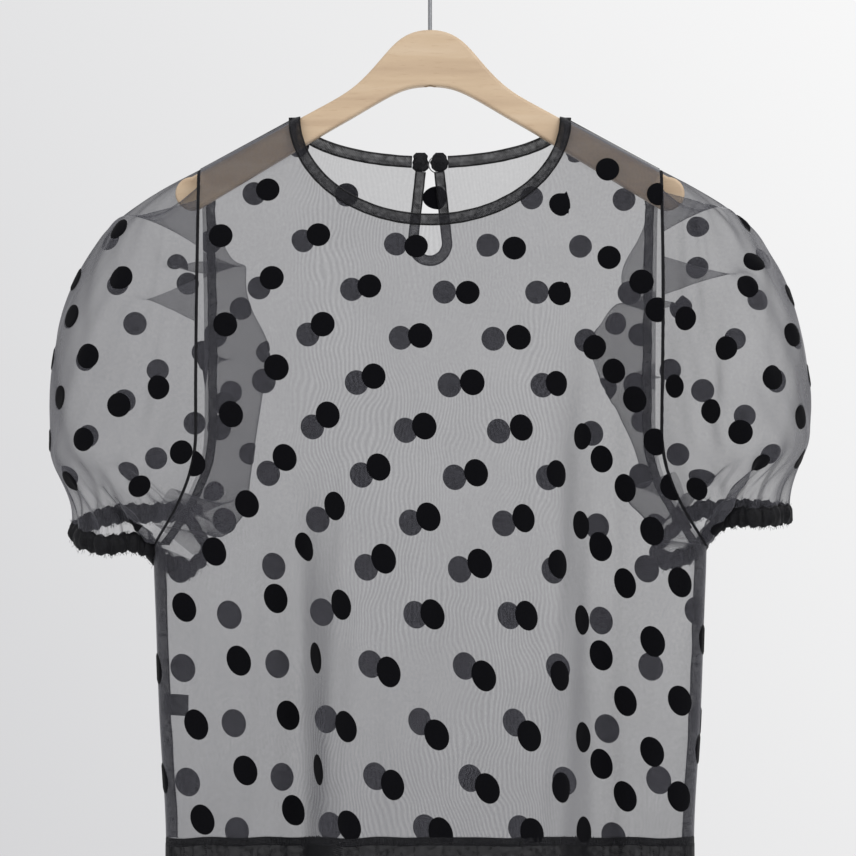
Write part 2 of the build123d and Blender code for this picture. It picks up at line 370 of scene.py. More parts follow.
def boundCloth(name, cover, dark, light, pitchMm, mottle):
    # the same organza folded over itself and pressed: nearly opaque, its ribs mottled where the folds part
    made, place = newMaterial(name)
    rib = addNode(made, "TexWave", {"wave_type": "BANDS", "bands_direction": "DIAGONAL"}, Vector=place,
                  Scale=bandScale(pitchMm), Distortion=1.5, Detail=2.0).outputs["Fac"]
    cloud = addNode(made, "TexNoise", Vector=place, Scale=260.0, Detail=4.0)
    mixed = addNode(made, "Math", multiplyAdd, i0=rib, i1=0.35, i2=cloud)
    facing = addNode(made, "LayerWeight", Blend=0.5).outputs["Facing"]
    see = addNode(made, "MapRange", Value=mixed, From_Min=0.35, From_Max=0.95, To_Min=cover + mottle,
                  To_Max=cover - mottle)
    see = addNode(made, "Math", {"use_clamp": True, **multiplyAdd}, i0=facing, i1=0.5, i2=see)
    return shade(made, mixed, ((0.35, dark), (0.95, light)), 0.4, 0.5, Roughness=0.6, Sheen_Weight=0.02,
                 Specular_IOR_Level=0.16, Alpha=see)


def beech():
    # steamed beech, sanded and lacquered matt: pale and even, with short fine flecks along the arms
    made, place = newMaterial("lacquered_beech")
    fleckMm = 1.2  # ray flecks of beech, drawn a little wide so that they show
    along = addNode(made, "Mapping", Vector=place, Scale=(0.10, 1.0, 1.0))
    rings = addNode(made, "TexNoise", Vector=along, Scale=90.0, Detail=5.0, Distortion=0.4)
    flecks = addNode(made, "TexNoise", Vector=along, Scale=1 / (fleckMm * mm), Detail=2.0)
    worn = addNode(made, "TexNoise", Vector=place, Scale=35.0, Detail=3.0)
    ringStops = ((0.25, "#B9A085"), (0.5, "#C7AF92"), (0.78, "#D1BCA2"))
    base = addNode(made, "ValToRGB", {"stops": ringStops}, Fac=rings).outputs[0]
    fleck = addNode(made, "ValToRGB", {"stops": ((0.60, "#000000"), (0.72, "#FFFFFF"))}, Fac=flecks)
    tone = addNode(made, "Mix", {"data_type": "RGBA", "blend_type": "MULTIPLY"}, i0=0.16, i6=base,
                   i7=linear("#A87F58")).outputs[2]
    mixed = addNode(made, "Mix", {"data_type": "RGBA"}, i0=fleck, i6=base, i7=tone).outputs[2]
    return shade(made, Base_Color=mixed, Specular_IOR_Level=0.4,
                 Roughness=addNode(made, "MapRange", Value=worn, To_Min=0.34, To_Max=0.52),
                 Normal=addNode(made, "Bump", Height=flecks, Strength=0.12, Distance=0.2 * mm))


def drawnSteel(name, colour, bright, rough):
    # nickel-plated steel, drawn and bent: soft grey, with faint lengthwise drawing lines
    made, place = newMaterial(name)
    lineMm = 0.3  # drawn coarser than real so that they show
    along = addNode(made, "Mapping", Vector=place, Scale=(1.0, 1.0, 0.06))
    lines = addNode(made, "TexNoise", Vector=along, Scale=1 / (lineMm * mm), Detail=2.0)
    return shade(made, lines, ((0.3, colour), (0.7, bright)), 0.1, 0.1, Metallic=1.0,
                 Roughness=addNode(made, "MapRange", Value=lines, To_Min=rough - 0.06, To_Max=rough + 0.08))


def resin():
    # polyester button resin, cast and tumbled: deep black with a wet gloss, faintly clouded
    made, place = newMaterial("cast_resin")
    cloud = addNode(made, "TexNoise", Vector=place, Scale=500.0, Detail=3.0)
    return shade(made, cloud, ((0.3, "#0C0C0E"), (0.8, "#1B1B1F")), Coat_Weight=0.4,
                 Roughness=addNode(made, "MapRange", Value=cloud, To_Min=0.2, To_Max=0.36))


def satin(name, dark, light, pitchMm, rough):
    # black satin or knitted tape: close ribs that catch a narrow line of light
    made, place = newMaterial(name)
    rib = addNode(made, "TexWave", {"wave_type": "BANDS", "bands_direction": "Z"}, Vector=place,
                  Scale=bandScale(pitchMm), Distortion=0.6, Detail=1.0).outputs["Fac"]
    return shade(made, rib, ((0.2, dark), (0.9, light)), 0.5, 0.3, Roughness=rough, Sheen_Weight=0.2)


# the front veil carries the painted shade over the hanger's arms
cloth = organza("organza_front", 0.36, 0.15, armShade["cover"])
clothBack = organza("organza_back", 0.36, 0.03)
clothSleeve = organza("organza_sleeve", 0.38, 0.0)
# rayon flock, short fibres standing in glue: dead black, with a faint bloom where it turns away
velvet = grained("flock_velvet", 1500.0, 3.0, ((0.25, "#050507"), (0.8, "#0E0E12")), 0.5, 0.3,
                 Roughness=0.95, Sheen_Weight=0.03, Sheen_Roughness=0.5, Specular_IOR_Level=0.06)
# spun polyester sewing thread: black, softly fuzzy, plied
threadBlack = grained("polyester_thread", 1900.0, 2.0, ((0.3, "#070708"), (0.75, "#1E1E22")), 0.4, 0.2,
                      Roughness=0.8, Sheen_Weight=0.04, Specular_IOR_Level=0.2)
bindingCloth = boundCloth("bias_binding", 0.70, "#0A0A0C", "#2A2A2F", 0.9, 0.2)
foldCloth = boundCloth("pressed_fold", 0.80, "#060607", "#18181B", 0.8, 0.12)
hemCloth = boundCloth("doubled_organza", 0.84, "#060607", "#1A1A1E", 0.8, 0.12)
seamCloth = boundCloth("seam_allowance", 0.70, "#0A0A0C", "#242428", 0.8, 0.28)
cuffCloth = boundCloth("ruched_organza", 0.93, "#050506", "#16161A", 0.7, 0.05)
print("materials made")


def shoulderLine(x):
    return body["shoulderZ"] + (body["shoulderX"] - np.abs(x)) * body["slope"]


def armEdge(z):
    # half width of the panels at a height: the armhole, then the side seam
    x0, z0 = body["shoulderX"], body["armholeEnd"]
    x1, z1 = body["underarm"]
    t = np.clip((z0 - z) / (z0 - z1), 0, 1)
    curve = x0 + (x1 - x0) * (1 - np.cos(t * math.pi / 2)) ** 1.15
    hipZ, length, wider = body["hip"]
    return np.where(z > z1, curve, table(z, body["sections"], 1) + wider * smooth((z - hipZ) / length))


def fluted(z, wide, flute):
    top, full, shares = body["flutes"][flute]
    return 1 + smooth((top - z) / (top - full)) * (table(wide, shares, 1) - 1)


def depthAt(x, z, side):
    # how far the cloth stands from the middle plane; side is -1 for the front
    z = np.asarray(z, float)
    x = np.asarray(x, float)
    wide = np.abs(x)
    half = table(z, body["sections"], 1)
    deep = table(z, body["sections"], 2)
    if side > 0:
        deep = deep * fluted(z, wide, "back")
    else:
        deep = deep * np.where(x < 0, fluted(z, wide, "left"), fluted(z, wide, "right"))
    away = np.clip((half - wide) / np.maximum(deep, body["minDepth"]), 0, 1)
    deep = deep * np.sqrt(np.maximum(1 - (1 - away) ** 2, 0))
    cap = np.clip((shoulderLine(x) - z) / body["capR"], 0, 1)
    deep = deep * np.sqrt(1 - (1 - cap) ** 2)
    hang = smooth((body["hang"][0] - z) / body["hang"][1]) * np.minimum(1, away * 1.2)
    for height, across, down, seed in body["waves"]:
        deep = deep + height * hang * ripple(x / across + z / down, seed + side)
    height, across, seed = body["gather"]
    (above, fadeUp), (below, fadeDown) = body["gatherZ"]
    near = smooth(1 - (z - above) / fadeUp) * smooth((z - below) / fadeDown)
    return deep + height * near * ripple(x / across, seed + side) * np.minimum(1, away * 2)


def tilted(points):
    # the hem hangs on a slant from front to back
    low = smooth((body["tiltZ"][0] - points[..., 2]) / body["tiltZ"][1])
    points[..., 2] -= body["hemTilt"] * points[..., 1] * low
    return points


def slitHalf(z, grow=0.0):
    # half width of the back slit at a height, grown outwards
    top, low = keyhole["top"] + grow, keyhole["low"] + grow
    straight = keyhole["straightZ"]
    taper = low + (top - low) * np.clip((z - straight) / (keyhole["taperZ"] - straight), 0, 1)
    drop = straight - (keyhole["bottomZ"] - grow)
    curve = low * np.sqrt(np.clip(1 - ((straight - z) / drop) ** 2, 0, 1))
    return np.where(z > straight, taper, np.where(z > straight - drop, curve, 0.0))


def panelGrid(side):
    # rows from the bottom seam up to the neck and shoulders; the back opens along its slit
    drop = neck["front"] if side < 0 else neck["back"]
    across = np.linspace(0, neck["halfW"], 46)
    half = np.concatenate([across, np.linspace(neck["halfW"], body["shoulderX"], 32)[1:]])
    rim = neck["centreZ"] - drop * np.sqrt(1 - (across / neck["halfW"]) ** 2)
    top = np.concatenate([rim, shoulderLine(half[len(across):])])
    share = half / body["shoulderX"]
    share = np.concatenate([-share[::-1], share if side > 0 else share[1:]])
    top = np.concatenate([top[::-1], top if side > 0 else top[1:]])
    low = np.concatenate([
        np.linspace(body["bottom"], body["underarm"][1], 76)[:-1],
        np.linspace(body["underarm"][1], body["armholeEnd"], 30)[:-1],
    ])
    rise = 1 - (1 - np.linspace(0, 1, 84)) ** 1.5
    grid = np.zeros((len(low) + len(rise), len(share), 3))
    grid[:len(low), :, 2] = low[:, None]
    grid[len(low):, :, 2] = body["armholeEnd"] + rise[:, None] * (top - body["armholeEnd"])
    z = grid[:, :, 2]
    edge = armEdge(z)
    x = share * edge
    if side > 0:
        gap = slitHalf(z)
        sign = np.where(np.arange(len(share)) < len(share) // 2, -1, 1)
        x = sign * (gap + np.abs(share) * (edge - gap))
    grid[:, :, 0] = x
    grid[:, :, 1] = side * depthAt(x, z, side)
    return tilted(grid[::-1].copy())  # top row first


frontGrid = panelGrid(-1)
backGrid = panelGrid(1)


def clothPiece(name, grid, material, skip=()):
    piece = addMesh(name, grid.reshape(-1, 3), gridFaces(*grid.shape[:2], skip=skip))
    bm = bmesh.new()
    bm.from_mesh(piece.data)
    bmesh.ops.remove_doubles(bm, verts=bm.verts, dist=0.02 * mm)  # where rows or columns close up
    bm.to_mesh(piece.data)
    bm.free()
    piece.data.materials.append(material)
    return piece


frontPanel = clothPiece("organza_front_panel", frontGrid, cloth)
middle = backGrid.shape[1] // 2 - 1
backPanel = clothPiece("organza_back_panel", backGrid, clothBack, skip=(middle,))
finishPiece(frontPanel, None, "front_panel")
finishPiece(backPanel, None, "back_panel")
print("panels made")


dots = {
    "radiusTop": 9.4,  # the cloth is nearer the lens low down and hangs fuller
    "radiusLow": 10.7,
    "proud": 0.45,
    "pile": 0.35,
    "rings": 4,
    "around": 28,
    # rows down the cloth: first height, gap, row and depth of the sag, the period across and its change by
    # row, the first column and its change, how far the weight stretches the dots, if the flute takes them in
    "front": {"first": -251.5, "gap": 35.3, "sag": (7, 33.6), "period": (77.0, -0.3), "start": (-10.9, 1.6),
              "pull": 1.0, "squeeze": 1.0},
    "back": {"first": -245.6, "gap": 37.7, "sag": (8, 24.0), "period": (75.0, 0.3), "start": (-28.0, 2.0),
             "pull": 0.6, "squeeze": 0.0},
    # how far a row lies off level, by the way across the cloth
    "rowTilt": ((-250, 0), (-165, 9), (-90, 10), (-45, 4), (0, 0), (75, -1), (112, -2), (147, -8), (185, 9),
                (221, 21), (259, 23), (300, 23)),
    # the deep flute on +X takes the dots' places closer together
    "taken": ((-300, -300), (0, 0), (75, 75), (111, 103), (147, 132), (185, 152), (221, 172), (259, 195),
              (295, 216), (400, 300)),
}


def dotPatch(grid, centre, radius, outward, pull):
    # one dot: a shallow dome of flock lying on the cloth, cut off where the cloth ends
    rings, n = dots["rings"], dots["around"]
    offsets = [(0.0, 0.0)]
    for ring in range(1, rings + 1):
        r = radius * (ring / rings) ** 0.8
        for k in range(n):
            w = 2 * math.pi * k / n
            up = r * math.sin(w) * (1 + 0.13 * pull)
            offsets.append((r * math.cos(w) * (1 - 0.10 * pull) - 0.16 * pull * up, up))
    at = walk(grid, centre, offsets)
    down, across = lean(grid, at)
    rise = np.full(len(at), dots["proud"] + dots["pile"])
    rise[-n:] = dots["proud"] * 0.6
    points = sample(grid, at) + unit(np.cross(down, across) * outward) * rise[:, None]
    faces = [(0, 1 + k, 1 + (k + 1) % n) for k in range(n)]
    for a in range(1, 1 + (rings - 1) * n, n):
        faces += [(a + k, a + n + k, a + n + (k + 1) % n, a + (k + 1) % n) for k in range(n)]
    return points, faces


def dotPiece(name, grid, centres, outward):
    patches = [dotPatch(grid, centre, radius, outward, pull) for centre, radius, pull in centres]
    piece = addMesh(name, *joined(patches))
    piece.data.materials.append(velvet)
    return piece


def placeOnPanel(grid, across, height):
    # the row and column where the cloth is across millimetres from its middle at that height
    rows, cols = np.arange(grid.shape[0]), np.arange(grid.shape[1])
    line = np.array([np.interp(-height, -grid[:, c, 2], rows) for c in cols])
    points = sample(grid, np.stack([line, cols], 1))
    length = lengthAlong(points[:, :2])
    length -= np.interp(0.0, points[:, 0], length)
    if not length[0] - 6 < across < length[-1] + 6:
        return None
    column = np.interp(across, length, cols)
    if grid[0, int(round(column)), 2] < height - 1:
        return None
    return np.interp(column, cols, line), column


def bodyDots(rows, grid, tilt):
    centres = []
    for k in range(-3, 13):
        height = rows["first"] - rows["gap"] * k - rows["sag"][1] * float(smooth((k - rows["sag"][0]) / 4))
        period = rows["period"][0] + rows["period"][1] * k
        radius = dots["radiusTop"] + (dots["radiusLow"] - dots["radiusTop"]) * min(1, max(0, k / 9))
        start = rows["start"][0] + rows["start"][1] * k + (0 if k % 2 == 0 else period / 2)
        squeeze = rows["squeeze"] * float(smooth((k + 1) / 4))
        pull = rows["pull"] * min(1, max(0, (k - 1) / 7))
        for n in range(-6, 7):
            across = start + n * period
            level = height + tilt * float(table(across, dots["rowTilt"], 1))
            across += squeeze * (float(table(across, dots["taken"], 1)) - across)
            found = placeOnPanel(grid, across, level)
            if found:
                centres.append((found, radius * (1 + rng.uniform(-0.015, 0.015)), pull))
    return centres


dotsFront = dotPiece("flock_dots_front", frontGrid, bodyDots(dots["front"], frontGrid, 1.0), 1)
dotsBack = dotPiece("flock_dots_back", backGrid, bodyDots(dots["back"], backGrid, 0.3), -1)
for piece in (dotsFront, dotsBack):
    finishPiece(piece, None, None)
print("dots placed", len(dotsFront.data.vertices), len(dotsBack.data.vertices))


sleeve = {
    "rows": 170,
    "cols": 124,
    "underarmShare": 0.86,  # share of the way down where the armhole closes
    "stations": (0, 0.10, 0.25, 0.40, 0.52, 0.64, 0.76, 0.86, 0.94, 1),
    "ring": (  # the mouth, seen from above; its inner end lies behind the body
        (192, 25), (213, 17), (229, -12), (256, -33), (284, -2),
        (262, 35), (228, 45), (198, 44), (182, 35), (192, 25),
    ),
    "outline": (  # height, reach of the outer edge
        (-187.9, 184), (-204, 215), (-220, 240), (-236, 258), (-252, 269), (-284, 286), (-316, 297),
        (-350, 302), (-400, 303), (-430, 302), (-450, 297), (-476, 284), (-500, 280),
    ),
    "depth": ((-187.9, 9), (-204, 18), (-222, 28), (-258, 46), (-300, 58), (-345, 63.5), (-400, 63),
              (-440, 57), (-476, 40), (-500, 36)),
    "blend": ((0.205, -0.40), (0.25, -0.475)),  # across and up, of a start and an end near the cuff
    "dotR": 9.4,
    "dotGap": (62.0, 31.5),  # round the puff and down it
}
sleeveSides = {
    "left": {
        "sign": -1, "body": "cuff_l", "seed": 5, "outerEnd": -469.0, "seamEnd": -509.0, "tip": 0.30,
        "lobe": ((-205, 184), (-238, 166), (-258, 152), (-290, 149), (-330, 132), (-372, 138),
                 (-430, 146), (-492, 157), (-520, 181)),
        "pleats": (("front", -226, 27, 72), ("front", -294, 35, 60), ("back", -262, 22, 44),
                   ("back", -338, 18, 30), ("back", -455, 26, 50)),
        "dotStart": (-244, 22),
    },
    "right": {
        "sign": 1, "body": "cuff_r", "seed": 9, "outerEnd": -455.0, "seamEnd": -496.0, "tip": 0.06,
        "lobe": ((-205, 184), (-242, 170), (-267, 156), (-287, 160), (-324, 131), (-356, 138),
                 (-390, 155), (-436, 172), (-454, 160), (-480, 176), (-505, 192)),
        "pleats": (("front", -216, 22, 66), ("front", -274, 32, 80), ("back", -292, 20, 46),
                   ("back", -352, 24, 36), ("back", -440, 22, 44)),
        "dotStart": (-228, -12),
    },
}


def throughPoints(points, stations, at):
    # a smooth line through points, at places between their stations; points is rows x stations x 2
    st = np.array(stations, float)
    n = len(st)
    slopes = np.zeros_like(points)
    slopes[:, 1:-1] = (points[:, 2:] - points[:, :-2]) / (st[2:] - st[:-2])[None, :, None]
    slopes[:, 0] = (points[:, 1] - points[:, 0]) / (st[1] - st[0])
    slopes[:, -1] = (points[:, -1] - points[:, -2]) / (st[-1] - st[-2])
    i = np.clip(np.searchsorted(st, at, side="right") - 1, 0, n - 2)
    h = st[i + 1] - st[i]
    t = ((at - st[i]) / h)[None, :, None]
    h = h[None, :, None]
    a = t * t * (3 - 2 * t)
    return (points[:, i] * (1 - a) + points[:, i + 1] * a
            + h * t * (1 - t) * (slopes[:, i] * (1 - t) - slopes[:, i + 1] * t))


def sleeveGrid(side):
    rows, cols = sleeve["rows"], sleeve["cols"]
    t = np.linspace(0, 1, rows)
    under = sleeve["underarmShare"]
    shoulder = body["shoulderZ"]
    ux, uz = body["underarm"]
    below = np.clip((t - under) / (1 - under), 0, 1)
    seamZ = np.where(t < under, shoulder + (uz - shoulder) * t / under, uz + (side["seamEnd"] - uz) * below)
    outerZ = shoulder + (side["outerEnd"] - shoulder) * t
    reach = table(outerZ, sleeve["outline"], 1)
    deep = table(outerZ, sleeve["depth"], 1)
    seamX = np.where(t < under, armEdge(seamZ), ux)
    frontY = np.where(t < under, depthAt(seamX * side["sign"], seamZ, -1), 0.0)
    backY = np.where(t < under, depthAt(seamX * side["sign"], seamZ, 1), 0.0)
    lobe = np.minimum(table(seamZ, side["lobe"], 1), seamX)
    wide = reach - seamX
    pts = np.array([
        (seamX, -frontY),
        (seamX + 0.20 * wide, -(frontY + 0.55 * (deep - frontY))),
        (seamX + 0.45 * wide, -deep),
        (seamX + 0.84 * wide, -0.70 * deep),
        (reach, 0 * reach),
        (seamX + 0.84 * wide, 0.70 * deep),
        (seamX + 0.42 * wide, deep),
        (seamX + 0.02 * wide, 0.5 * deep + 0.5 * np.maximum(deep, backY + 12)),
        (lobe, backY + 5 + 0.15 * (seamX - lobe)),
        (seamX, backY),
    ]).transpose(2, 0, 1)
    mouth = smooth((t - 0.78) / 0.22)[:, None, None]
    ring = np.array(sleeve["ring"], float)[None]
    pts = pts * (1 - mouth) + ring * mouth
    sink = np.sqrt(below)
    endX, endY = sleeve["ring"][0]
    pts[:, 0] = np.stack([seamX + (endX - ux) * below, -frontY + endY * sink], 1)
    pts[:, 9] = np.stack([seamX + (endX - ux) * below, backY + endY * sink], 1)
    u = np.linspace(0, 1, cols)
    flatXY = throughPoints(pts, sleeve["stations"], u)
    t, u = t[:, None], u[None, :]
    out = smooth(np.minimum(u / 0.34, (1 - u) / 0.30))
    z = seamZ[:, None] * (1 - out) + outerZ[:, None] * out
    grid = np.dstack([flatXY, z])
    grid[:, :, 2] += side["tip"] * grid[:, :, 1] * smooth((t - 0.74) / 0.26)
    seed = side["seed"]
    normal = unit(np.cross(np.gradient(grid, axis=1), np.gradient(grid, axis=0)))
    free = (np.minimum(u, 1 - u) / 0.12).clip(0, 1) * smooth(t / 0.15)
    soft = 2.2 * ripple(u * 17 + t * 5, seed) + 1.5 * ripple(u * 31 - t * 9, seed + 1)
    low = smooth((t - 0.80) / 0.20)  # ruched towards the cuff
    ruche = 2.4 * np.sin(u * 2 * math.pi * 17 + 3 * ripple(t * 6 + u * 9, seed + 2))
    ruche = low * (ruche + 1.2 * ripple(u * 160, seed + 3))
    grid += normal * (free * (soft * (1 - 0.5 * low) + ruche))[..., None]
    foldPleats(grid, side["pleats"])
    grid[:, :, 0] *= side["sign"]
    return grid


def foldPleats(grid, pleats):
    # knife pleats from the armhole: the cloth turns back over itself and the fold runs out along the puff
    for face, height, half, length in pleats:
        edge = grid[:, :1] if face == "front" else grid[:, -1:]
        away = np.linalg.norm((grid - edge)[:, :, :2], axis=2)
        near = np.arange(grid.shape[1])[None, :] / grid.shape[1]
        near = near < 0.5 if face == "front" else near >= 0.5
        fade = np.where(near, np.clip(1 - away / length, 0, 1), 0.0) ** 0.8
        s = (grid[:, :, 2] - height) / half
        bell = np.exp(-s * s)
        lift = 1.5 * fade * np.tanh(s * 3) * np.exp(-(s * 0.7) ** 2)
        grid[:, :, 2] -= 2.5 * fade * bell * s * half
        grid[:, :, 1] += lift * (-1 if face == "front" else 1)


def sleeveDots(grid, side):
    # dots in staggered rows down the puff, measured round each row from its outermost point
    centres = []
    firstZ, firstAcross = side["dotStart"]
    period, gap = sleeve["dotGap"]
    for k in range(9):
        share = (firstZ - gap * k - body["shoulderZ"]) / (side["outerEnd"] - body["shoulderZ"])
        if not 0.03 < share < 0.97:
            continue
        row = share * (grid.shape[0] - 1)
        cols = np.arange(grid.shape[1])
        length = lengthAlong(sample(grid, np.stack([np.full(len(cols), row), cols], 1)))
        outer = length[int(0.52 * len(length))]
        start = firstAcross + (0 if k % 2 == 0 else period / 2)
        for n in range(-6, 7):
            place = outer + start + n * period + rng.uniform(-3, 3)
            if not 9 < place < length[-1] - 9:
                continue
            at = (row + rng.uniform(-1.5, 1.5), np.interp(place, length, cols))
            radius = sleeve["dotR"] + rng.uniform(-0.3, 0.3)
            if not inPleat(sample(grid, np.array([at]))[0], place, length[-1] - place, side["pleats"]):
                centres.append((at, radius, 0.0))
    return centres


def inPleat(point, fromFront, fromBack, pleats):
    for face, height, half, reach in pleats:
        away = fromFront if face == "front" else fromBack
        if away < 0.8 * reach + 8 and abs(point[2] - height) < 0.75 * half + 8:
            return True
    return False


sleeveGrids, puffs = {}, {}
for name, side in sleeveSides.items():
    grid = sleeveGrids[name] = sleeveGrid(side)
    puff = clothPiece("organza_sleeve_" + name, grid, clothSleeve)
    spots = dotPiece("flock_dots_sleeve_" + name, grid, sleeveDots(grid, side), side["sign"])
    puffs[name] = (puff, spots)
print("sleeves made")


trim = {
    "thick": 1.3,
    "wobble": 0.03,  # how unevenly wide the binding is
    "stitch": 2.1,  # length of a running stitch, and the gap after it
    "stitchGap": 0.9,
    "threadR": 0.26,
    "foldFaces": (0, 1, 6, 7, 8, 9, 14, 15),  # of the 16 round the strip, those at its two folds
}


def onCloth(x, z, side, out=0.0):
    # points on the outside of a panel; out stands off the cloth, away from the body's middle
    x, z = np.asarray(x, float), np.asarray(z, float)
    return tilted(np.stack([x, side * (depthAt(x, z, side) + out), z], -1))


def stripGrid(line, width, side, seed):
    # a folded strip of cloth along a line in the front view, as a closed flat loop of points per step
    line = np.asarray(line, float)
    tangent = unit(np.gradient(line, axis=0))
    normal = np.stack([tangent[:, 1], -tangent[:, 0]], 1)
    across = (-0.5, -0.46, -0.34, -0.18, 0, 0.18, 0.34, 0.46, 0.5)
    puff = (0.15, 0.75, 0.92, 0.82, 0.78, 0.82, 0.92, 0.75, 0.15)
    grid = []
    for face, order in ((1, range(9)), (-1, range(7, 0, -1))):
        for k in order:
            uneven = 1 + trim["wobble"] * ripple(np.arange(len(line)) / 3.1, seed + k)
            p = line + normal * (across[k] * width * uneven)[:, None]
            grid.append(onCloth(p[:, 0], p[:, 1], side, face * trim["thick"] * puff[k]))
    return np.array(grid).transpose(1, 0, 2)


def bindingPiece(name, node, line, width, side, seed):
    # the strip is see-through in its middle and darker along its two folds
    piece = addMesh(name, *capped(stripGrid(line, width, side, seed)))
    piece.data.materials.append(bindingCloth)
    piece.data.materials.append(foldCloth)
    for i, face in enumerate(piece.data.polygons):
        if i % 16 in trim["foldFaces"]:
            face.material_index = 1
    return finishPiece(piece, None, node)


def neckLine(side, start, end, count, grow=0.0):
    # points of the neck edge in the front view; angles from straight down towards +X
    drop = neck["front"] if side < 0 else neck["back"]
    turn = np.radians(np.linspace(start, end, count))
    x = (neck["halfW"] + grow) * np.sin(turn)
    return np.stack([x, neck["centreZ"] - (drop + grow) * np.cos(turn)], 1)


def stitches(line, side, out):
    # short threads in a row along a line on the cloth
    length = lengthAlong(line)
    made, place = [], 0.5
    while place + trim["stitch"] < length[-1]:
        at = place + np.linspace(0, trim["stitch"], 4)
        x, z = np.interp(at, length, line[:, 0]), np.interp(at, length, line[:, 1])
        lift = out + np.array([-0.25, 0.12, 0.12, -0.25])
        made.append(onCloth(x, z, side, lift))
        place += trim["stitch"] + trim["stitchGap"]
    return made


def keyholeLine(grow, topZ):
    # the drop-shaped slit in the front view, down one side and up the other
    low, top = keyhole["low"] + grow, keyhole["top"] + grow
    straight = keyhole["straightZ"]
    drop = straight - keyhole["bottomZ"] + grow
    turn = np.linspace(0, math.pi, 40)
    sideZ = np.linspace(topZ, straight, 40)[:-1]
    sideX = top + (low - top) * (topZ - sideZ) / (topZ - straight)
    curve = np.stack([low * np.cos(turn), straight - drop * np.sin(turn)], 1)
    return np.concatenate([np.stack([sideX, sideZ], 1), curve, np.stack([-sideX, sideZ], 1)[::-1]])


bindings, edgeThreads = [], []
tabAngle = math.degrees(math.asin(tabHigh[0] / neck["halfW"]))
for name, node, side, start, end in (
    ("neck_binding_front_edge", "neck_binding_front", -1, -90, 90),
    ("neck_binding_back_edge_right", "neck_binding_back_right", 1, tabAngle, 90),
    ("neck_binding_back_edge_left", "neck_binding_back_left", 1, -90, -tabAngle),
):
    line = neckLine(side, start, end, 150 if side < 0 else 76)
    bindings.append(bindingPiece(name, node, line, neck["width"], side, 40))
    for grow in (-neck["width"] * 0.40, neck["width"] * 0.40):
        edgeThreads += stitches(neckLine(side, start + 1, end - 1, 300, grow), side, trim["thick"] * 0.95)

slitLine = keyholeLine(keyhole["width"] / 2, tabLow[2])
bindings.append(bindingPiece("keyhole_facing", "keyhole_binding", slitLine, keyhole["width"], 1, 60))
for grow in (0.9, keyhole["width"] - 0.9):
    edgeThreads += stitches(keyholeLine(grow, tabLow[2]), 1, trim["thick"] * 0.95)
finishPiece(addMesh("edge_stitching", *tubeMesh(edgeThreads, trim["threadR"])), threadBlack, None)


def foldedTab(sign):
    # the binding's end, turned back twice and stitched flat: a small stiff knob
    size, centre = tabHigh - tabLow, (tabHigh + tabLow) / 2
    v = np.linspace(0, 1, 20)[:, None]
    w = 2 * math.pi * np.arange(32)[None, :] / 32
    tall = np.where((v > 0) & (v < 1), np.abs(np.sin(math.pi * v)) ** 0.25, 0.55)
    pinch = 1 - 0.10 * np.sin(v * math.pi * 2 + sign) - 0.06 * np.cos(v * 19)
    x = centre[0] + size[0] / 2 * 0.98 * pinch * tall * np.copysign(np.abs(np.cos(w)) ** 0.55, np.cos(w))
    z = centre[2] + size[2] * (0.5 - v) * 0.99 + 0 * w
    crease = 0.35 * np.sin(x * 1.7 + z * 0.8)
    y = (1.9 * tall + crease) * np.copysign(np.abs(np.sin(w)) ** 0.7, np.sin(w))
    return np.dstack([sign * x, depthAt(sign * x, z, 1) + y, z])


for sign, name in ((1, "right"), (-1, "left")):
    tab = addMesh("folded_tab_" + name, *capped(foldedTab(sign)))
    finishPiece(tab, cuffCloth, "keyhole_tab_" + name)


def threadLoop():
    # the loop that goes round the button: two plies twisted together
    centre = (loopLow + loopHigh) / 2
    r = (loopHigh[0] - loopLow[0]) / 2 - 0.4
    plyR, turns = 0.22, 24
    w = 2 * math.pi * np.arange(150) / 150
    plies = []
    for phase in (0, math.pi):
        twist = w * turns + phase
        ring = r + plyR * np.cos(twist)
        plies.append(centre + np.stack([ring * np.cos(w), plyR * np.sin(twist), ring * np.sin(w)], 1))
    return tubeMesh(plies, 0.24, sides=6, closed=True)


finishPiece(addMesh("twisted_loop", *threadLoop()), threadBlack, "button_loop", "loop")


overlock = {
    "pitch": 2.2,  # between the overlock's stitches, coarser than real so that they show
    "threadR": 0.36,
    "chains": (0.08, 0.92),  # where the two chains lie across the allowance
}


def overlockThreads(inner, outer, seed):
    # looping threads from one edge of a seam allowance to the other, and a chain along each edge
    r = random.Random(seed)
    length = lengthAlong(inner)
    at = np.linspace(0, length[-1], int(length[-1] / overlock["pitch"]) * 2)
    a, b = (np.stack([np.interp(at, length, line[:, k]) for k in range(3)], 1) for line in (inner, outer))
    zigzag = []
    for k in range(len(at)):
        reach = 1.0 + r.uniform(-0.05, 0.14)
        p = a[k] if k % 2 == 0 else a[k] + (b[k] - a[k]) * reach
        zigzag.append(p + np.array([0, r.uniform(-0.2, 0.2), r.uniform(-0.25, 0.25)]))
    lines = [np.array(zigzag)]
    for share in overlock["chains"]:
        chain = a + (b - a) * share
        chain[:, 1] += 0.25 * np.sin(np.arange(len(chain)) * 1.3)
        lines.append(chain)
    return lines


def ribbon(inner, outer, thick, steps=5):
    # a narrow flat strip with thickness between two edges
    direction = outer - inner
    normal = unit(np.cross(direction, np.gradient(inner, axis=0)))
    shares = np.linspace(0, 1, steps)
    top = [inner + direction * s + normal * thick / 2 for s in shares]
    low = [inner + direction * s - normal * thick / 2 for s in shares[::-1]]
    return np.array(top + low).transpose(1, 0, 2)


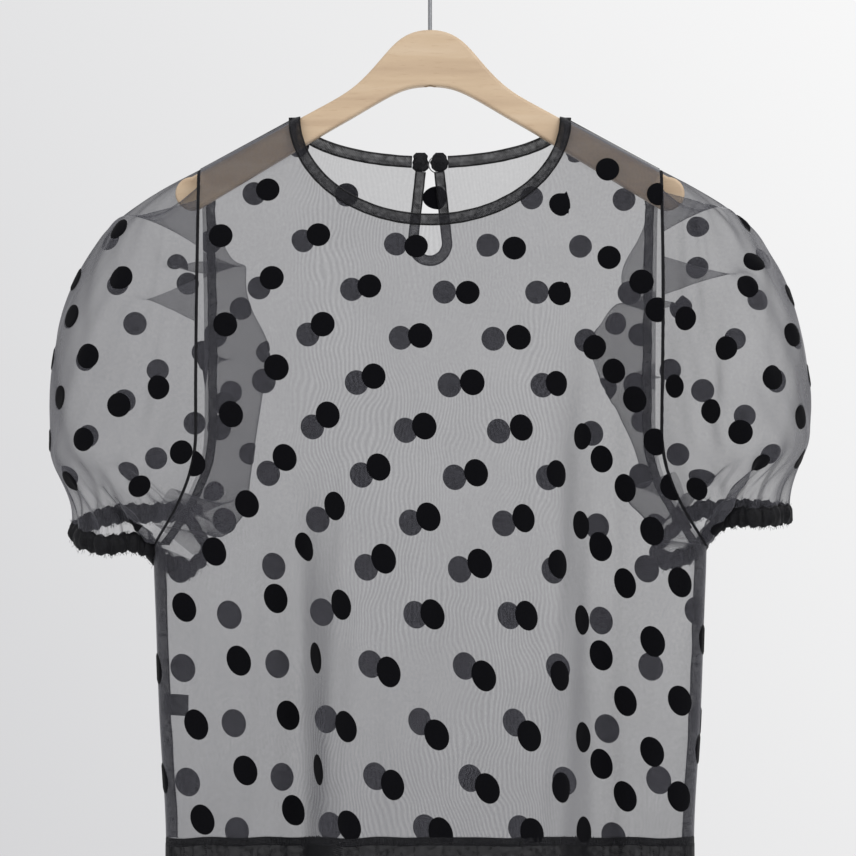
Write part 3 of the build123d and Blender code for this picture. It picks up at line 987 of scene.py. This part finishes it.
def seamPiece(name, node, strips, cords, seed):
    # strips of allowance with their overlocking, and cords where the cloth is pulled in by the stitches
    allowance = joined(capped(ribbon(*strip)) for strip in strips)
    finishPiece(addMesh(name, *allowance), seamCloth, node)
    lines = []
    for k, strip in enumerate(strips):
        lines += overlockThreads(*strip[:2], seed + k)
    sewn = addMesh(name + "_overlock", *tubeMesh(lines + cords, overlock["threadR"]))
    finishPiece(sewn, threadBlack, None)


for sign, name in ((1, "right"), (-1, "left")):
    z = np.linspace(body["shoulderZ"] - 2, body["underarm"][1], 150)
    edge = armEdge(z)
    wave = 0.8 * ripple(z / 14, 71 + sign) + 0.4 * ripple(z / 5, 75 + sign)
    backIn = onCloth(sign * (edge - 10.5 + wave), z, 1, -1.2)
    backOut = onCloth(sign * (edge - 3.2 + 0.5 * wave), z, 1, -0.9)
    backIn[:, 1] += 1.6 * ripple(z / 9, 77 + sign)
    cords = []
    for shift, out in ((0.0, 0.5), (-0.7, 0.25), (0.6, 0.1)):
        cord = onCloth(sign * (edge - 0.6 + shift), z, -1, out)
        cord[:, 0] += 0.25 * ripple(z / 4 + shift, 80)
        cords += [cord, cord + [0.25, 0.1, 0.3]]
    frontIn = onCloth(sign * (edge - 1.8), z, -1, -0.7)
    frontOut = onCloth(sign * (edge + 0.4), z, -1, -0.5)
    seamPiece("armhole_seam_cloth_" + name, "armhole_seam_" + name,
              [(backOut, backIn, 0.7), (frontOut, frontIn, 0.6)], cords, 90)

    z = np.linspace(body["underarm"][1] - 3, body["bottom"] + 4, 120)
    edge = armEdge(z)
    wave = 0.5 * ripple(z / 17, 101 + sign)
    inner = np.stack([sign * (edge - 9.5 + wave), 1.3 * ripple(z / 13, 103 + sign), z], 1)
    outer = np.stack([sign * (edge - 0.8), 0 * z, z], 1)
    seamPiece("side_seam_cloth_" + name, "side_seam_" + name, [(outer, inner, 0.8)], [], 110)

    x = sign * np.linspace(seamLow[0], seamHigh[0], 60)
    top = shoulderLine(x)
    inner, outer = (np.stack([x, y + 0 * x, top - 0.6], 1) for y in (3.0, -3.0))
    ridge = [np.stack([x, 0 * x + d, top + 0.35], 1) for d in (-0.35, 0.35)]
    seamPiece("shoulder_seam_cloth_" + name, "shoulder_seam_" + name, [(outer, inner, 0.5)], ridge, 120)


def waistLine(side, out, rise):
    # half the closed line of the bottom seam, a little outside the cloth
    half = float(armEdge(np.array([body["bottom"]]))[0]) - 0.8
    x = half * np.sin(np.linspace(-1, 1, 150) * math.pi / 2)
    return onCloth(x, body["bottom"] + 1.2 * ripple(x / 19, 130), side, out) + [0, 0, rise]


waist = [(waistLine(side, 0.6, -2.6), waistLine(side, 0.3, 3.8), 0.8) for side in (-1, 1)]
seamPiece("bottom_seam_cloth", "bottom_seam", waist, [], 140)
print("seams made")


def bandGrid(side):
    # doubled cloth gathered on to the bottom seam; its fold is the hem
    rows, cols = 26, 240
    v = np.linspace(0, 1, rows)[:, None]
    u = np.linspace(-1, 1, cols)[None, :]
    z = body["bottom"] - 0.5 + (hemZ + 0.6 - body["bottom"]) * v + 0 * u
    half = table(z, body["sections"], 1) + 0.4
    x = half * np.sin(u * math.pi / 2)
    deep = depthAt(x, np.maximum(z, body["bottom"]), side)
    inward = np.clip((half - np.abs(x)) / 6, 0, 1)
    gathers = (1.5 - 0.7 * v) * ripple(x / 2.1 + 0 * z, 150 + side) * inward
    fall = 2.2 * v * ripple(x / 21, 160 + side) * inward
    hem = 0.5 * smooth((v - 0.9) / 0.1)
    y = side * (deep + 0.5 + gathers + fall + hem)
    return tilted(np.dstack([x + 0 * z, y, z]))


for side, name in ((-1, "front"), (1, "back")):
    grid = bandGrid(side)
    band = clothPiece("gathered_hem_" + name, grid, hemCloth)
    finishPiece(band, None, "hem_band_" + name)
    places = [placeOnPanel(grid, 36.0 + n * 74.0 + 9 * side, -759.0 + 2 * n) for n in range(-3, 4)]
    hemDots = [(place, dots["radiusLow"], 0.0) for place in places if place]
    spots = finishPiece(dotPiece("flock_dots_hem_" + name, grid, hemDots, 1), None, None)


print("hem made")


def labelMesh():
    # a blank satin loop label, its free end curling
    u = np.concatenate([np.linspace(0, 1, 16), np.linspace(1, 0, 16)])[None, :]
    v = np.linspace(0, 1, 12)[:, None]
    face = np.repeat([0.2, -0.2], 16)
    size = labelHigh - labelLow
    x = labelLow[0] + size[0] * u + 0 * v
    y = labelLow[1] + 0.2 - 2.2 * u * u + 0.5 * np.sin(u * 5 + v * 3) + face
    z = labelLow[2] + size[2] * v + 0.4 * np.sin(u * 4)
    return capped(np.dstack([x, y, z]))


wovenSatin = satin("woven_satin", "#0A0A0C", "#24242A", 0.8, 0.38)
finishPiece(addMesh("blank_satin_label", *labelMesh()), wovenSatin, "care_label", "label")


cuff = {
    "height": 15.5,
    "thick": 3.0,
    "gathers": 44,
    "around": 264,
    "loop": 18,
    "hairs": 520,
}


def mouthLine(grid):
    # the closed line of the sleeve's end, and the way out from it
    closed = np.vstack([grid[-1, :-1], grid[-1, :1]])
    length = lengthAlong(closed)
    at = np.linspace(0, length[-1], cuff["around"], endpoint=False)
    even = np.stack([np.interp(at, length, closed[:, k]) for k in range(3)], 1)
    for _ in range(14):  # the elastic draws the ruched edge into a plain oval
        even = 0.5 * even + 0.25 * (np.roll(even, 1, 0) + np.roll(even, -1, 0))
    out = unit(np.cross(np.roll(even, -1, 0) - np.roll(even, 1, 0), [0, 0, 1.0]))
    if ((even - even.mean(0)) * out).sum() < 0:
        out = -out
    return even, out


def casingMesh(even, out, seed):
    # the casing round the elastic: a fat ruffle whose gathers are uneven
    k = (np.arange(len(even)) / len(even) * 2 * math.pi)[:, None]
    w = (2 * math.pi * np.arange(cuff["loop"]) / cuff["loop"])[None, :]
    pull = 0.62 + 0.38 * np.sin(k * cuff["gathers"] + 1.7 * ripple(k * 7, seed))
    rough = ripple(k * 60, seed + 1)
    fat = cuff["thick"] * (0.65 + 0.75 * pull) * np.sin(w)
    ridge = 0.7 * np.sin(w * 3 + k * 31 + rough * 2) + 0.5 * rough
    grid = even[:, None] + out[:, None] * (fat + ridge * np.abs(np.sin(w)))[..., None]
    grid[..., 2] += 0.6 - cuff["height"] / 2 * (1 - np.cos(w)) - 0.9 * np.sin(k * 29 + w) - 0.8 * rough
    return capped(grid, closed=True)


def elasticMesh(even, out):
    # knitted elastic inside the casing: a flat ribbed band
    half = ((0.45, 3.6), (0.55, 2.0), (0.42, 0.0), (0.55, -2.0), (0.45, -3.6))
    profile = np.array([(-o, d) for o, d in half] + [(o, d) for o, d in half[::-1]])
    rib = 0.12 * np.abs(np.sin(np.arange(len(even)) * 2.2))[:, None] * np.sign(profile[:, 0])
    grid = even[:, None] + out[:, None] * (profile[:, 0] + rib)[..., None]
    grid[..., 2] += profile[:, 1] - cuff["height"] / 2
    return capped(grid, closed=True)


def frayedEnds(even, out, seed):
    # loose yarn ends along both edges of the casing
    r = random.Random(seed)
    lines = []
    for _ in range(cuff["hairs"]):
        i = r.randrange(len(even))
        low = r.random() < 0.6
        z = 0.4 - (cuff["height"] * r.uniform(0.88, 1.02) if low else r.uniform(-0.6, 1.6))
        start = even[i] + out[i] * r.uniform(-2.2, 2.8) + np.array([r.uniform(-0.6, 0.6), 0, z])
        way = np.array([r.uniform(-1, 1), r.uniform(-1, 1), -1.2 if low else 1.0])
        way = unit(way + out[i] * r.uniform(0, 1.0))
        bend = np.array([r.uniform(-1, 1), r.uniform(-1, 1), r.uniform(-1, 1)]) * 0.5
        size = r.uniform(1.2, 3.4)
        lines.append([start + way * size * s + bend * size * s * s * 0.5 for s in (0, 0.5, 1.0)])
    return lines


elasticTape = satin("knitted_elastic", "#101013", "#2A2A30", 1.1, 0.6)
for name, side in sleeveSides.items():
    even, out = mouthLine(sleeveGrids[name])
    frays = tubeMesh(frayedEnds(even, out, side["seed"]), 0.13, sides=3)
    for start, made, material, node, slot in (
        ("ruched_casing_", casingMesh(even, out, side["seed"]), cuffCloth, "cuff_casing_", "cuff"),
        ("elastic_band_", elasticMesh(even, out), elasticTape, "cuff_elastic_", "elastic"),
        ("frayed_ends_", frays, threadBlack, None, "cuff"),
    ):
        finishPiece(addMesh(start + name, *made), material, node and node + name, side["body"])
print("cuffs made")

for name, (puff, spots) in puffs.items():
    side = sleeveSides[name]
    start, end = ((side["sign"] * across, 0, up) for across, up in sleeve["blend"])
    for piece in (puff, spots):
        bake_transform(piece)
    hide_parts("sleeve_" + name)


def dress(node, material):
    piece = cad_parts[node]
    piece.data.materials.clear()
    piece.data.materials.append(material)
    return piece


dress("hanger_body", beech())
dress("hanger_hook", drawnSteel("drawn_steel", "#77787B", "#909194", 0.36))
dress("hook_washer", drawnSteel("stamped_steel", "#8A8B8E", "#A9AAAD", 0.4))
dress("neck_button", resin())


studio = {"floorZ": -1.35, "floorR": 2.3, "floor": ("#DCDCDD", "#E0E0E1"), "wall": ("#D3D3D5", "#FAFAFA")}


def addFloor():
    # rings of faces round a middle point
    n, rings = 96, 6
    points = [(0, 0, studio["floorZ"] / mm)]
    for ring in range(1, rings + 1):
        r = studio["floorR"] / mm * ring / rings
        for k in range(n):
            w = 2 * math.pi * k / n
            points.append((r * math.cos(w), r * math.sin(w), studio["floorZ"] / mm))
    faces = [(0, 1 + k, 1 + (k + 1) % n) for k in range(n)]
    for a in range(1, 1 + (rings - 1) * n, n):
        faces += [(a + k, a + n + k, a + n + (k + 1) % n, a + (k + 1) % n) for k in range(n)]
    floor = addMesh("studio_floor", points, faces)
    stops = ((0.3, studio["floor"][0]), (0.7, studio["floor"][1]))
    floor.data.materials.append(grained("studio_paint", 60.0, 3.0, stops, Roughness=0.8))


def addSky():
    # a pale wall behind, lighter towards the upper right
    world = bpy.data.worlds.new("studio_light")
    scene.world = world
    world.use_nodes = True
    split = addNode(world, "SeparateXYZ", Vector=addNode(world, "TexCoord"))
    across, up = (
        addNode(world, "MapRange", Value=split.outputs[axis], From_Min=-0.2, From_Max=0.2, To_Max=share)
        for axis, share in (("X", 0.62), ("Z", 0.38)))
    both = addNode(world, "Math", {"operation": "ADD"}, i0=across, i1=up)
    stops = ((0.0, studio["wall"][0]), (1.0, studio["wall"][1]))
    wall = addNode(world, "ValToRGB", {"stops": stops}, Fac=both)
    world.node_tree.links.new(wall.outputs[0], world.node_tree.nodes["Background"].inputs["Color"])


def addLamp(name, at, aim, size, power):
    lamp = bpy.data.lights.new(name, "AREA")
    lamp.shape = "DISK"
    lamp.size = size
    lamp.energy = power
    holder = bpy.data.objects.new(name, lamp)
    holder.location = at
    holder.rotation_euler = (Vector(aim) - Vector(at)).to_track_quat("-Z", "Y").to_euler()
    scene.collection.objects.link(holder)


addFloor()
addSky()
addLamp("key", (1.6, -2.2, 1.2), (0, 0, -0.4), 1.6, 26)
addLamp("fill", (-1.8, -1.8, 0.2), (0, 0, -0.4), 1.8, 8)
addLamp("rear", (0.4, 2.4, 1.2), (0, 0, -0.3), 1.6, 12)

camera = bpy.data.cameras.new("camera")
camera.lens = 100.0
camera.sensor_width = 36.0
eye = bpy.data.objects.new("camera", camera)
eye.location = (-0.0016, -1.9, -0.394)
eye.rotation_euler = (math.pi / 2, 0, 0)
scene.collection.objects.link(eye)
scene.camera = eye
